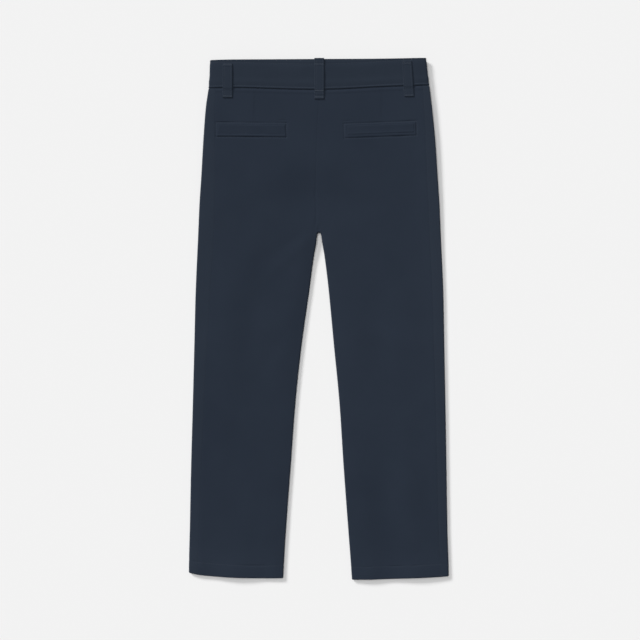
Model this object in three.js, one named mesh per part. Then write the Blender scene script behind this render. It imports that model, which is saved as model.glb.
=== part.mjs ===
// Child's chino trousers, laid flat on their front with the back upwards.
// X runs across the garment, +Y from the hems to the waist and +Z up. Lengths are in millimetres.
// The underside of the legs lies on z = 0, and the origin is below the middle of the garment.
import * as THREE from 'three';

// Cloth
const CLOTH = 1.2;
const BAND_WALL = 2.4;
const STRIP = 1.2;
const SEAM_GAP = 0.3;
const EDGE_ROLL = 2.3;
const BAND_PROUD = 0.8;
const BAND_SOFT = 0.7;
const CROWN = 0.9;
const CROWN_WIDTH = 18;
const HEM_TURN = { depth: 18, extra: 0.55, step: 1 };

// Half widths of the garment from its middle line, from the waist to the hems
const OUTLINE = [
  { y: 363, left: 152, right: 150.5 },
  { y: 323, left: 154.5, right: 155.5 },
  { y: 298, left: 158, right: 158.5 },
  { y: 253, left: 161.5, right: 163 },
  { y: 208, left: 164, right: 166 },
  { y: 164, left: 167, right: 169 },
  { y: 119, left: 169, right: 171 },
  { y: 41, left: 172.5, right: 174.5 },
  { y: -38, left: 174.5, right: 176 },
  { y: -116, left: 176.5, right: 177.5 },
  { y: -206, left: 179, right: 179 },
  { y: -295, left: 180.8, right: 180.4 },
  { y: -335, left: 181.8, right: 181.6 },
  { y: -364, left: 182, right: 182 },
];

// The inside leg of each leg, from the middle line
const INSEAM = [
  { y: 108, left: 3.3, right: 4.8 },
  { y: 85, left: 7.4, right: 8.6 },
  { y: 41, left: 13.2, right: 13.9 },
  { y: -38, left: 24.3, right: 21.4 },
  { y: -116, left: 32.6, right: 28.9 },
  { y: -206, left: 39.3, right: 34.8 },
  { y: -295, left: 46, right: 41.4 },
  { y: -364, left: 50.2, right: 46.8 },
];

// The rounded top of the gap between the legs
const CROTCH = { x: 0.6, y: 117.8, radius: 3 };

// The back's centre seam wanders a little. The front's is straight, below the fly.
const CENTRE_SEAM = [
  { y: 117.8, x: 0.6 },
  { y: 124, x: -0.6 },
  { y: 140, x: -3.8 },
  { y: 185, x: -4.8 },
  { y: 250, x: -3 },
  { y: 324, x: 0.6 },
];

// The waistband's upper edge and its lower seam across the back
const WAIST = [
  { x: -156, top: 362.2, seam: 323.3 },
  { x: -120, top: 363, seam: 324 },
  { x: 0, top: 363.7, seam: 321.3 },
  { x: 100, top: 364.4, seam: 325.6 },
  { x: 156, top: 365.5, seam: 327.6 },
];
const FRONT_DIP = 14;

// The hem's edge across a leg, from the side (share 0) to the inside leg (share 1)
const HEM = [
  { share: 0, left: -355.5, right: -360.5 },
  { share: 0.1, left: -358.4, right: -361.4 },
  { share: 0.25, left: -360.4, right: -362.4 },
  { share: 0.5, left: -362.5, right: -363.7 },
  { share: 0.8, left: -363.3, right: -365 },
  { share: 1, left: -363.2, right: -365.3 },
];

// The side seam's distance in from the outline, on the upper face
const SIDE_SEAM = [
  { y: 325, left: 10, right: 10 },
  { y: 208, left: 19, right: 15 },
  { y: 119, left: 22, right: 16 },
  { y: -116, left: 16, right: 14 },
  { y: -364, left: 12, right: 12 },
];

// The front is lifted at the waist by the button beneath it
const LIFT = { start: 40, end: 308, height: 3 };

// Rows along a panel, by height above or below the middle of the garment
const HEM_ROW = -364;
const HEM_BLEND = 60;
const WAIST_ROW = 324;
const WAIST_BLEND = 90;
const LEG_STEP = 44;
const SEAT_STEP = 24;
const ROLL_ANGLES = [0, 30, 60, 90];

const LOOP = { width: 13.5, step: 5, soft: 0.5 };
const BACK_LOOPS = [
  { name: 'belt_loop_back_left', x: -127.5, lean: 0, top: 357.2, bottom: 309.5 },
  { name: 'belt_loop_back_centre', x: 0.7, lean: 0, top: 364.9, bottom: 307.5 },
  { name: 'belt_loop_back_right', x: 124.6, lean: 3.5, top: 361, bottom: 311 },
];
const FRONT_LOOPS = [
  { name: 'belt_loop_front_left', x: -84, lean: 0, top: 350, bottom: 303 },
  { name: 'belt_loop_front_right', x: 84, lean: 0, top: 350, bottom: 303 },
];

const WELT = { width: 93, height: 12.5, thick: 1, soft: 0.4 };
const WELTS = [
  { name: 'pocket_welt_left', x: -93.8, y: 265.2, turn: -0.5 },
  { name: 'pocket_welt_right', x: 86.8, y: 265.6, turn: 2.2 },
];

const FLY = { inner: 1.5, width: 34, foot: 4, bottom: 172, thick: 1, straightRows: 4, roundRows: 8 };
const BUTTON = { radius: 7.5, thick: 1.9, rim: 1.4, dish: 0.4, shoulder: 0.8, sides: 28 };

const NAVY = new THREE.Color(0x293039);
const BUTTON_NAVY = new THREE.Color(0x20252d);

// Row tables are read with a smooth curve through their values
function along(rows, key, at, column) {
  const ordered = rows[0][key] < rows[rows.length - 1][key] ? rows : [...rows].reverse();
  const last = ordered.length - 1;
  const place = THREE.MathUtils.clamp(at, ordered[0][key], ordered[last][key]);
  let low = 0;
  while (low < last - 1 && ordered[low + 1][key] < place) low += 1;
  const slopeAt = (index) => {
    const before = ordered[Math.max(index - 1, 0)];
    const after = ordered[Math.min(index + 1, last)];
    return (after[column] - before[column]) / (after[key] - before[key]);
  };
  const from = ordered[low];
  const to = ordered[low + 1];
  const span = to[key] - from[key];
  const t = (place - from[key]) / span;
  const rise = t * t * (3 - 2 * t);
  const bend = slopeAt(low) * t * (1 - t) * (1 - t) - slopeAt(low + 1) * t * t * (1 - t);
  return from[column] + (to[column] - from[column]) * rise + span * bend;
}

function sideName(side) {
  return side < 0 ? 'left' : 'right';
}

function outerX(side, y) {
  return side * along(OUTLINE, 'y', y, sideName(side));
}

function innerX(side, y) {
  const above = y - CROTCH.y;
  if (above >= CROTCH.radius) return CROTCH.x;
  if (above >= 0) return CROTCH.x + side * Math.sqrt(CROTCH.radius ** 2 - above ** 2);
  const tip = INSEAM[0];
  if (y < tip.y) return side * along(INSEAM, 'y', y, sideName(side));
  const start = CROTCH.x + side * CROTCH.radius;
  return THREE.MathUtils.mapLinear(y, CROTCH.y, tip.y, start, side * tip[sideName(side)]);
}

// Where a panel ends on its inner side: the inside leg, then the centre seam
function panelInnerX(side, y, face) {
  const middle = face > 0 ? along(CENTRE_SEAM, 'y', y, 'x') : CROTCH.x;
  const inside = y > CROTCH.y + CROTCH.radius ? middle : innerX(side, y);
  return middle + side * Math.max(SEAM_GAP / 2, side * (inside - middle));
}

// The nearest outline: how far away it is, and which way it lies
function nearestEdge(side, x, y) {
  const outside = side * (outerX(side, y) - x);
  const edge = { distance: outside, x: side, y: 0 };
  if (y <= CROTCH.y) {
    const inside = side * (x - innerX(side, y));
    return inside < outside ? { distance: inside, x: -side, y: 0 } : edge;
  }
  const across = x - CROTCH.x;
  const up = y - CROTCH.y;
  const reach = Math.hypot(across, up);
  if (reach - CROTCH.radius >= outside) return edge;
  return { distance: reach - CROTCH.radius, x: -across / reach, y: -up / reach };
}

// A point of the cloth's outer surface and the direction out of it.
// The face is 1 on the back, -1 on the front and 0 on the edge between them.
function surface(side, x, y, face, proud = 0) {
  const roll = EDGE_ROLL + proud;
  const edge = nearestEdge(side, x, y);
  const distance = Math.max(edge.distance, 0);
  const level = face === 0 ? 1 : THREE.MathUtils.clamp((roll - distance) / roll, 0, 1);
  const upright = Math.sqrt(1 - level ** 2);
  const inward = THREE.MathUtils.clamp((distance - roll) / CROWN_WIDTH, 0, 1);
  const crown = face > 0 ? CROWN * (1 - (1 - inward) ** 2) : 0;
  const lift = LIFT.height * THREE.MathUtils.smoothstep(y, LIFT.start, LIFT.end);
  const rise = Math.max(roll * upright, SEAM_GAP / 2) + crown;
  return {
    point: new THREE.Vector3(x, y, lift + EDGE_ROLL + face * rise),
    normal: new THREE.Vector3(edge.x * level, edge.y * level, face * upright).normalize(),
  };
}

function moved({ point, normal }, distance) {
  return point.clone().addScaledVector(normal, distance);
}

// How much lower the front's waist lies than the back's
function frontDip(x, y, face) {
  if (face >= 0) return 0;
  const half = outerX(Math.sign(x) || 1, y);
  return FRONT_DIP * Math.max(0, 1 - (x / half) ** 2);
}

function waistSeam(x, face) {
  return along(WAIST, 'x', x, 'seam') - frontDip(x, WAIST_ROW, face);
}

function waistTop(x, face) {
  return along(WAIST, 'x', x, 'top') - frontDip(x, WAIST_ROW, face);
}

// A row runs straight across the panel, and follows the waist seam and the hem near them
function rowY(side, row, x, face) {
  const share = (x - outerX(side, row)) / (innerX(side, row) - outerX(side, row));
  const hem = along(HEM, 'share', share, sideName(side)) - HEM_ROW;
  const nearHem = 1 - THREE.MathUtils.smoothstep(row, HEM_ROW, HEM_ROW + HEM_BLEND);
  const waist = waistSeam(x, face) - SEAM_GAP / 2 - WAIST_ROW;
  const nearWaist = THREE.MathUtils.smoothstep(row, WAIST_ROW - WAIST_BLEND, WAIST_ROW);
  return row + hem * nearHem + waist * nearWaist;
}

function spaced(from, to, step) {
  const count = Math.max(1, Math.round(Math.abs(to - from) / step));
  return Array.from({ length: count }, (_, index) => from + ((to - from) * index) / count);
}

function rollDistance(angle) {
  return EDGE_ROLL * (1 - Math.cos(THREE.MathUtils.degToRad(angle)));
}

function panelRows() {
  const tip = CROTCH.y + CROTCH.radius;
  const roundTip = ROLL_ANGLES.map((a) => CROTCH.radius * Math.sin(THREE.MathUtils.degToRad(a)));
  const overTip = ROLL_ANGLES.slice(1).map((angle) => tip + rollDistance(angle));
  const seat = tip + CROWN_WIDTH / 2;
  return [
    HEM_ROW,
    HEM_ROW + HEM_TURN.depth,
    ...spaced(HEM_ROW + HEM_TURN.depth + HEM_TURN.step, INSEAM[1].y, LEG_STEP),
    INSEAM[1].y,
    INSEAM[0].y,
    ...roundTip.map((up) => CROTCH.y + up),
    ...overTip,
    ...spaced(seat, WAIST_ROW, SEAT_STEP),
    WAIST_ROW,
  ];
}

// Stations across a panel. A station is named by its distance from the side or from the
// inner edge, or by its share of the width between them.
function backStations() {
  return [
    ...[0, 0.04, 0.1, 0.2, 0.35, 0.5, 0.65, 0.8, 0.9, 0.96].map((share) => ({ face: 1, share })),
    ...[90, 60, 30, 0].map((angle) => ({ face: 1, inner: rollDistance(angle) })),
  ];
}

function frontStations() {
  return [
    ...[0, 0.5].map((wrap) => ({ face: 1, wrap })),
    ...[90, 60, 30].map((angle) => ({ face: 1, outer: rollDistance(angle) })),
    { face: 0, outer: 0 },
    ...[30, 60].map((angle) => ({ face: -1, outer: rollDistance(angle) })),
    ...[0, 0.2, 0.4, 0.6, 0.8].map((share) => ({ face: -1, share })),
    ...[90, 60, 30, 0].map((angle) => ({ face: -1, inner: rollDistance(angle) })),
  ];
}

function stationX(side, y, station) {
  const outside = outerX(side, y);
  if (station.outer !== undefined) return outside - side * station.outer;
  const inside = panelInnerX(side, y, station.face);
  if (station.inner !== undefined) return inside + side * station.inner;
  const seam = along(SIDE_SEAM, 'y', y, sideName(side));
  if (station.wrap !== undefined) {
    const start = seam - SEAM_GAP / 2;
    return outside - side * THREE.MathUtils.lerp(start, EDGE_ROLL, station.wrap);
  }
  const margin = station.face > 0 ? seam + SEAM_GAP / 2 : EDGE_ROLL;
  const from = outside - side * margin;
  const to = inside + side * EDGE_ROLL;
  return THREE.MathUtils.lerp(from, to, station.share);
}

// The point where a station, placed across by height, meets a line, placed in height by x
function settled(placeX, startY, placeY) {
  let y = startY;
  for (let round = 0; round < 3; round += 1) y = placeY(placeX(y));
  return { x: placeX(y), y };
}

// A closed surface from a list of points and four-cornered faces, turned to face outwards
function closedSolid(points, quads) {
  const faces = quads.flatMap(([a, b, c, d]) => [[a, b, c], [a, c, d]]);
  const volume = faces.reduce((sum, [a, b, c]) => {
    return sum + points[a].dot(points[b].clone().cross(points[c]));
  }, 0);
  const turned = volume < 0 ? faces.map(([a, b, c]) => [a, c, b]) : faces;
  const geometry = new THREE.BufferGeometry();
  geometry.setAttribute('position', new THREE.Float32BufferAttribute(
    points.flatMap((point) => point.toArray()), 3));
  geometry.setIndex(turned.flat());
  geometry.computeVertexNormals();
  return geometry;
}

// A wall between two grids of points of the same size, closed round its four edges
function wallBetween(outer, inner) {
  const rows = outer.length;
  const columns = outer[0].length;
  const points = [...outer.flat(), ...inner.flat()];
  const outerAt = (row, column) => row * columns + column;
  const innerAt = (row, column) => rows * columns + outerAt(row, column);
  const quads = [];
  for (let row = 0; row < rows - 1; row += 1) {
    for (let column = 0; column < columns - 1; column += 1) {
      const corners = [[row, column], [row, column + 1], [row + 1, column + 1], [row + 1, column]];
      quads.push(corners.map(([r, c]) => outerAt(r, c)));
      quads.push(corners.map(([r, c]) => innerAt(r, c)).reverse());
    }
  }
  const rim = (a, b) => quads.push([outerAt(...b), outerAt(...a), innerAt(...a), innerAt(...b)]);
  for (let column = 0; column < columns - 1; column += 1) {
    rim([0, column], [0, column + 1]);
    rim([rows - 1, column + 1], [rows - 1, column]);
  }
  for (let row = 0; row < rows - 1; row += 1) {
    rim([row + 1, 0], [row, 0]);
    rim([row, columns - 1], [row + 1, columns - 1]);
  }
  return closedSolid(points, quads);
}

// A ring of cloth: each section is a closed loop of points, and the last meets the first
function ringOf(sections) {
  const size = sections[0].length;
  const at = (section, point) => (section % sections.length) * size + (point % size);
  const quads = [];
  for (let section = 0; section < sections.length; section += 1) {
    for (let point = 0; point < size; point += 1) {
      const next = section + 1;
      quads.push([at(section, point), at(next, point), at(next, point + 1), at(section, point + 1)]);
    }
  }
  return closedSolid(sections.flat(), quads);
}

function clothMaterial(color) {
  return new THREE.MeshStandardMaterial({ color, roughness: 0.9, metalness: 0 });
}

function piece(name, geometry, color = NAVY) {
  const mesh = new THREE.Mesh(geometry, clothMaterial(color));
  mesh.name = name;
  return mesh;
}

function panel(name, side, stations) {
  const rows = panelRows();
  const grid = rows.map((row) => stations.map((station) => {
    const { x, y } = settled((at) => stationX(side, at, station), row,
      (at) => rowY(side, row, at, station.face));
    return surface(side, x, y, station.face);
  }));
  const wall = (row) => CLOTH + (row <= HEM_ROW + HEM_TURN.depth ? HEM_TURN.extra : 0);
  const outer = grid.map((line) => line.map((spot) => spot.point));
  const inner = grid.map((line, index) => line.map((spot) => moved(spot, -wall(rows[index]))));
  return piece(name, wallBetween(outer, inner));
}

// The waistband goes once round: over the back, round one side, under the front and back again
function waistband() {
  const roll = EDGE_ROLL + BAND_PROUD;
  const edge = ROLL_ANGLES.map((angle) => ({
    inset: roll * (1 - Math.cos(THREE.MathUtils.degToRad(angle))),
    onEdge: angle === 0,
  }));
  const flat = (count) => Array.from({ length: count }, (_, index) => (index + 1) / (count + 1));
  const half = (side, face, count) => [
    ...edge.map(({ inset, onEdge }) => ({ side, inset, face: onEdge ? 0 : face })),
    ...flat(count).map((share) => ({ side, share, face })),
  ];
  const backLeft = half(-1, 1, 6);
  const backRight = half(1, 1, 6).reverse();
  const frontRight = half(1, -1, 4).slice(1);
  const frontLeft = half(-1, -1, 4).slice(1).reverse();
  const middle = (face) => ({ side: 1, share: 1, face });
  const stations = [...backLeft, middle(1), ...backRight, ...frontRight, middle(-1), ...frontLeft];
  const soft = BAND_SOFT;
  const profile = [
    { down: 1, depth: 0 },
    { down: 0.5, depth: 0 },
    { below: soft, depth: 0 },
    { below: 0, depth: soft },
    { below: 0, depth: BAND_WALL - soft },
    { below: soft, depth: BAND_WALL },
    { down: 1, depth: BAND_WALL },
  ];
  const sections = stations.map(({ side, inset, share, face }) => profile.map((spot) => {
    const place = (y) => {
      const outside = outerX(side, y) - side * (inset ?? roll);
      return share === undefined ? outside : THREE.MathUtils.lerp(outside, CROTCH.x, share);
    };
    const height = (x) => {
      const top = waistTop(x, face);
      const bottom = waistSeam(x, face) + SEAM_GAP / 2;
      return spot.down === undefined ? top - spot.below : THREE.MathUtils.lerp(top, bottom, spot.down);
    };
    const { x, y } = settled(place, WAIST_ROW, height);
    return moved(surface(side, x, y, face, BAND_PROUD), -spot.depth);
  }));
  return piece('waistband', ringOf(sections));
}

// The surface that trims lie on: the panels, and the prouder waistband above its seam
function trimSurface(x, y, face) {
  const side = x < CROTCH.x ? -1 : 1;
  const seam = waistSeam(x, face);
  const onBand = THREE.MathUtils.smoothstep(y, seam - LOOP.step, seam);
  return surface(side, x, y, face, 0).point.z + face * BAND_PROUD * onBand;
}

// A strip on the garment, with its upper edges eased down
function strip(name, lines, face, thick, soft) {
  const height = (x, y, above) => trimSurface(x, y, face) + face * (SEAM_GAP + above);
  const last = lines.length - 1;
  const grid = (above) => lines.map((line, row) => line.map(({ x, y }, column) => {
    const onRim = row === 0 || row === last || column === 0 || column === line.length - 1;
    const ease = above > 0 && onRim ? soft : 0;
    return new THREE.Vector3(x, y, height(x, y, above - ease));
  }));
  return piece(name, wallBetween(grid(thick), grid(0)));
}

function beltLoop({ name, x, lean, top, bottom }, face) {
  const across = [-0.5, -0.44, 0, 0.44, 0.5];
  const seamShare = (top - waistSeam(x, face)) / (top - bottom);
  const stepShare = LOOP.step / (top - bottom);
  const down = [0, 0.015, 0.3, 0.6, seamShare, seamShare + stepShare / 2, seamShare + stepShare, 0.985, 1];
  const lines = down.map((share) => across.map((place) => ({
    x: x + lean * (share - 0.5) + place * LOOP.width,
    y: THREE.MathUtils.lerp(top, bottom, share),
  })));
  return strip(name, lines, face, STRIP, LOOP.soft);
}

function pocketWelt({ name, x, y, turn }) {
  const angle = THREE.MathUtils.degToRad(turn);
  const across = [-0.5, -0.494, -0.3, -0.1, 0.1, 0.3, 0.494, 0.5];
  const up = [-0.5, -0.45, 0, 0.45, 0.5];
  const lines = up.map((high) => across.map((wide) => {
    const offset = new THREE.Vector2(wide * WELT.width, high * WELT.height);
    offset.rotateAround(new THREE.Vector2(), angle);
    return { x: x + offset.x, y: y + offset.y };
  }));
  return strip(name, lines, 1, WELT.thick, WELT.soft);
}

// The fly is a strip below the front's waist seam, and rounds off at its foot
function fly() {
  const top = waistSeam(CROTCH.x, -1) - LOOP.step - SEAM_GAP;
  const straight = FLY.bottom + FLY.width;
  const rounding = Array.from({ length: FLY.roundRows + 1 }, (_, row) => {
    const turn = ((row / FLY.roundRows) * Math.PI) / 2;
    return { y: straight - FLY.width * Math.sin(turn), width: FLY.width * Math.cos(turn) };
  });
  const upper = spaced(top, straight, (top - straight) / FLY.straightRows);
  const lines = [...upper.map((y) => ({ y, width: FLY.width })), ...rounding].map((line) => {
    const width = Math.max(FLY.foot, line.width);
    return [0, 0.5, 1].map((share) => ({ x: CROTCH.x + FLY.inner - width * share, y: line.y }));
  });
  return strip('fly', lines, -1, FLY.thick, 0);
}

// The button lies against the front of the waistband, face down
function button() {
  const { radius, thick, rim, dish, shoulder, sides } = BUTTON;
  const profile = [
    [0, dish],
    [radius - rim, dish],
    [radius - rim / 2, 0],
    [radius, shoulder],
    [radius, thick],
    [0, thick],
  ].map(([across, up]) => new THREE.Vector2(across, up));
  const geometry = new THREE.LatheGeometry(profile, sides);
  geometry.rotateX(Math.PI / 2);
  const mesh = piece('button', geometry, BUTTON_NAVY);
  const middle = (waistTop(CROTCH.x, -1) + waistSeam(CROTCH.x, -1)) / 2;
  mesh.position.set(CROTCH.x, middle, 0);
  return mesh;
}

const trousers = new THREE.Group();
trousers.add(panel('back_left', -1, backStations()));
trousers.add(panel('back_right', 1, backStations()));
trousers.add(panel('front_left', -1, frontStations()));
trousers.add(panel('front_right', 1, frontStations()));
trousers.add(waistband());
BACK_LOOPS.forEach((loop) => trousers.add(beltLoop(loop, 1)));
FRONT_LOOPS.forEach((loop) => trousers.add(beltLoop(loop, -1)));
WELTS.forEach((welt) => trousers.add(pocketWelt(welt)));
trousers.add(fly());
trousers.add(button());

export default trousers;
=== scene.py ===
import math

import bmesh
import bpy
import numpy as np
from mathutils import Matrix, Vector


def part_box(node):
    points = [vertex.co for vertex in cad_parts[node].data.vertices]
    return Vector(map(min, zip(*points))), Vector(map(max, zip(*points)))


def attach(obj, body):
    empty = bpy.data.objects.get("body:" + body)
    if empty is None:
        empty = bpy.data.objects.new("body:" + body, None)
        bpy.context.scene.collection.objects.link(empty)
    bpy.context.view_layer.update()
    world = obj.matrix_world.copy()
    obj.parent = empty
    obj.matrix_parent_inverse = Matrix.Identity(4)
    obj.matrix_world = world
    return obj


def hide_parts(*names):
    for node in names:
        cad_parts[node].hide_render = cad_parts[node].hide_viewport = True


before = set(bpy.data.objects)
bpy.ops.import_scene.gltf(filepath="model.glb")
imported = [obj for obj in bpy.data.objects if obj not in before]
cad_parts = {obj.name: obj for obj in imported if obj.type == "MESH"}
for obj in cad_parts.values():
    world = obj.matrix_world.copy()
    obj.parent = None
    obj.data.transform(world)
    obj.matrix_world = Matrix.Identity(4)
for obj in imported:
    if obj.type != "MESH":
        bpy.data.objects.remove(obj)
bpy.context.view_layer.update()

# The two back panels: navy cotton twill, each cut in one from waist to hem, seamed down the
# middle of the seat and along both sides of the leg. They are pressed flat, rolled softly over
# at the garment's outline, darted above the pockets and turned up and stitched at the hem.
SIDE_NAMES = {-1: "left", 1: "right"}
WALL = 0.0008
EDGE_ROLL = 0.0023
CROWN = 0.0009
CROWN_WIDTH = 0.018
SEAM_PART = 0.00006


def chart(columns, *rows):
    """Rows of values, under column names that are given once."""
    return [dict(zip(columns.split(), row)) for row in rows]


OUTLINE = chart(
    "y left right",
    (0.363, 0.152, 0.1505),
    (0.323, 0.1545, 0.1555),
    (0.298, 0.158, 0.1585),
    (0.253, 0.1615, 0.163),
    (0.208, 0.164, 0.166),
    (0.164, 0.167, 0.169),
    (0.119, 0.169, 0.171),
    (0.041, 0.1725, 0.1745),
    (-0.038, 0.1745, 0.176),
    (-0.116, 0.1765, 0.1775),
    (-0.206, 0.179, 0.179),
    (-0.295, 0.1808, 0.1804),
    (-0.335, 0.1818, 0.1816),
    (-0.364, 0.182, 0.182),
)
INSEAM = chart(
    "y left right",
    (0.108, 0.0033, 0.0048),
    (0.085, 0.0074, 0.0086),
    (0.041, 0.0132, 0.0139),
    (-0.038, 0.0243, 0.0214),
    (-0.116, 0.0326, 0.0289),
    (-0.206, 0.0393, 0.0348),
    (-0.295, 0.046, 0.0414),
    (-0.364, 0.0502, 0.0468),
)
CROTCH = {"x": 0.0006, "y": 0.1178, "radius": 0.003}
CENTRE_SEAM = chart(
    "y x",
    (0.1178, 0.0006),
    (0.124, -0.0006),
    (0.14, -0.0038),
    (0.185, -0.0048),
    (0.25, -0.003),
    (0.324, 0.0006),
)
WAIST = chart(
    "x top seam",
    (-0.156, 0.3622, 0.3233),
    (-0.12, 0.363, 0.324),
    (0.0, 0.3637, 0.3213),
    (0.1, 0.3644, 0.3256),
    (0.156, 0.3655, 0.3276),
)
FRONT_DIP = 0.014
HEM = chart(
    "share left right",
    (0.0, -0.3555, -0.3605),
    (0.1, -0.3584, -0.3614),
    (0.25, -0.3604, -0.3624),
    (0.5, -0.3625, -0.3637),
    (0.8, -0.3633, -0.365),
    (1.0, -0.3632, -0.3653),
)
SIDE_SEAM = chart(
    "y left right",
    (0.325, 0.01, 0.01),
    (0.208, 0.019, 0.015),
    (0.119, 0.022, 0.016),
    (-0.116, 0.016, 0.014),
    (-0.364, 0.012, 0.012),
)
LIFT = {"start": 0.04, "end": 0.308, "height": 0.003}
SEAM_BULK = {"height": 0.0018, "reach": 0.03}
HEM_ROW, HEM_BLEND = -0.364, 0.06
WAIST_ROW, WAIST_BLEND = 0.324, 0.09
HEM_TURN = {"depth": 0.0175, "extra": 0.0007, "rise": 0.00016, "edge": 0.0012,
            "round": 0.0006, "line": 0.00007, "line_width": 0.0011, "full": 0.017}
FULL_ROUND = 0.96
SEAM_LINE = {"centre": 0.0001, "side": 0.00007, "width": 0.0012}


def read(rows, key, column, at):
    """A smooth curve through one column of a table, read at each place."""
    ordered = sorted(rows, key=lambda row: row[key])
    places = np.array([row[key] for row in ordered])
    values = np.array([row[column] for row in ordered])
    last = len(places) - 1
    before = np.maximum(np.arange(last + 1) - 1, 0)
    after = np.minimum(np.arange(last + 1) + 1, last)
    slopes = (values[after] - values[before]) / (places[after] - places[before])
    at = np.clip(at, places[0], places[last])
    low = np.clip(np.searchsorted(places, at) - 1, 0, last - 1)
    span = places[low + 1] - places[low]
    t = (at - places[low]) / span
    bend = slopes[low] * t * (1 - t) ** 2 - slopes[low + 1] * t**2 * (1 - t)
    return values[low] + (values[low + 1] - values[low]) * t**2 * (3 - 2 * t) + span * bend


def ease(at, low, high):
    """From 0 below low to 1 above high, with soft ends."""
    t = np.clip((at - low) / (high - low), 0, 1)
    return t * t * (3 - 2 * t)


def outer_x(side, y):
    """The outline beside the leg and the hip."""
    return side * read(OUTLINE, "y", SIDE_NAMES[side], y)


def inner_x(side, y):
    """The inside leg, the rounded top of the gap and, above it, the middle of the seat."""
    column = SIDE_NAMES[side]
    above = y - CROTCH["y"]
    top = INSEAM[0]
    start = CROTCH["x"] + side * CROTCH["radius"]
    neck = start + (side * top[column] - start) * (-above) / (CROTCH["y"] - top["y"])
    tip = CROTCH["x"] + side * np.sqrt(np.maximum(CROTCH["radius"] ** 2 - above**2, 0))
    leg = side * read(INSEAM, "y", column, y)
    cases = [above >= CROTCH["radius"], above >= 0, y >= top["y"]]
    return np.select(cases, [CROTCH["x"] + 0 * tip, tip, neck], leg)


def centre_x(y, face):
    """The centre seam wanders a little on the back. The front's is straight, below the fly."""
    return read(CENTRE_SEAM, "y", "x", y) if face > 0 else CROTCH["x"] + 0 * y


def panel_inner_x(side, y, face):
    """A panel's inner edge, half a seam away from the other panel's."""
    middle = centre_x(y, face)
    inside = np.where(y > CROTCH["y"] + CROTCH["radius"], middle, inner_x(side, y))
    return middle + side * np.maximum(SEAM_PART / 2, side * (inside - middle))


def nearest_edge(side, x, y):
    """How far away the outline is, and which way it lies."""
    outside = side * (outer_x(side, y) - x)
    inside = side * (x - inner_x(side, y))
    across, up = x - CROTCH["x"], y - CROTCH["y"]
    reach = np.maximum(np.hypot(across, up), 1e-6)
    seat = up > 0
    gap = np.where(seat, reach - CROTCH["radius"], inside)
    gap_x = np.where(seat, -across / reach, -side)
    gap_y = np.where(seat, -up / reach, 0.0)
    near_gap = gap < outside
    distance = np.where(near_gap, gap, outside)
    return distance, np.where(near_gap, gap_x, side), np.where(near_gap, gap_y, 0.0)


def lie(side, x, y, face, proud=0.0):
    """Points of the cloth's outer surface, and the directions out of it.

    The face is 1 on the back, -1 on the front and 0 on the edge between them. The button lifts
    the waist, and the seams that cross at the crotch hold the cloth up there."""
    roll = EDGE_ROLL + proud
    distance, edge_x, edge_y = nearest_edge(side, x, y)
    distance = np.maximum(distance, 0)
    level = np.clip((roll - distance) / roll, 0, 1) if face else np.ones_like(distance)
    upright = np.sqrt(1 - level**2)
    inward = np.clip((distance - roll) / CROWN_WIDTH, 0, 1)
    crown = CROWN * (1 - (1 - inward) ** 2) if face > 0 else 0
    from_crotch = np.hypot(x - CROTCH["x"], y - CROTCH["y"]) / SEAM_BULK["reach"]
    lift = LIFT["height"] * ease(y, LIFT["start"], LIFT["end"])
    lift = lift + SEAM_BULK["height"] * np.exp(-(from_crotch**2))
    rise = np.maximum(roll * upright, SEAM_PART / 2) + crown
    points = np.stack([x, y, lift + EDGE_ROLL + face * rise], -1)
    out = np.stack([edge_x * level, edge_y * level, face * upright], -1)
    return points, out / np.linalg.norm(out, axis=-1, keepdims=True)


def front_dip(x, face):
    """How much lower the front's waist lies than the back's."""
    half = np.where(x < 0, outer_x(-1, WAIST_ROW), outer_x(1, WAIST_ROW))
    return FRONT_DIP * np.maximum(0, 1 - (x / half) ** 2) if face < 0 else 0 * x


def waist_seam(x, face):
    """How high the panels meet the waistband."""
    return read(WAIST, "x", "seam", x) - front_dip(x, face)


def hem_edge(side, x, y):
    """The height of the hem's edge, straight below each place."""
    share = (x - outer_x(side, y)) / (inner_x(side, y) - outer_x(side, y))
    return read(HEM, "share", SIDE_NAMES[side], share)


def row_y(side, row, x, face):
    """A row's height across the panel: it follows the hem below and the waist seam above."""
    near_hem = 1 - ease(row, HEM_ROW, HEM_ROW + HEM_BLEND)
    near_waist = ease(row, WAIST_ROW - WAIST_BLEND, WAIST_ROW)
    waist = waist_seam(x, face) - SEAM_PART / 2 - WAIST_ROW
    return row + (hem_edge(side, x, row) - HEM_ROW) * near_hem + waist * near_waist


def settled(place_x, start_y, place_y):
    """Where a line across the cloth, placed by height, meets one placed by x."""
    y = start_y
    for _ in range(3):
        y = place_y(place_x(y))
    return place_x(y), y


def stops(start, end, step, fine=()):
    """Places from start to end, closer together round each fine place."""
    places = [start]
    while places[-1] < end:
        here = places[-1]
        near = [f["step"] for f in fine if abs(here + step / 2 - f["at"]) < f["reach"] + step / 2]
        places.append(here + min([step, *near]))
    return [*places[:-1], end] if end - places[-2] > step / 8 else [*places[:-2], end]


def groove(distance, depth, width):
    """How far a line of sewing pulls the cloth down."""
    return -depth * np.exp(-((distance / width) ** 2))


def creases(rows, x, y):
    """Soft troughs and ridges, each with its own length, width and depth."""
    height = np.zeros_like(x)
    for row in rows:
        turn = math.radians(row["turn"])
        across, up = x - row["x"], y - row["y"]
        along = across * math.cos(turn) + up * math.sin(turn)
        aside = up * math.cos(turn) - across * math.sin(turn)
        width = np.where(aside < 0, row["width"], row.get("far", row["width"]))
        bell = np.exp(-((2 * along / row["length"]) ** 2) - (aside / width) ** 2)
        height += row["height"] * bell
    return height


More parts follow.
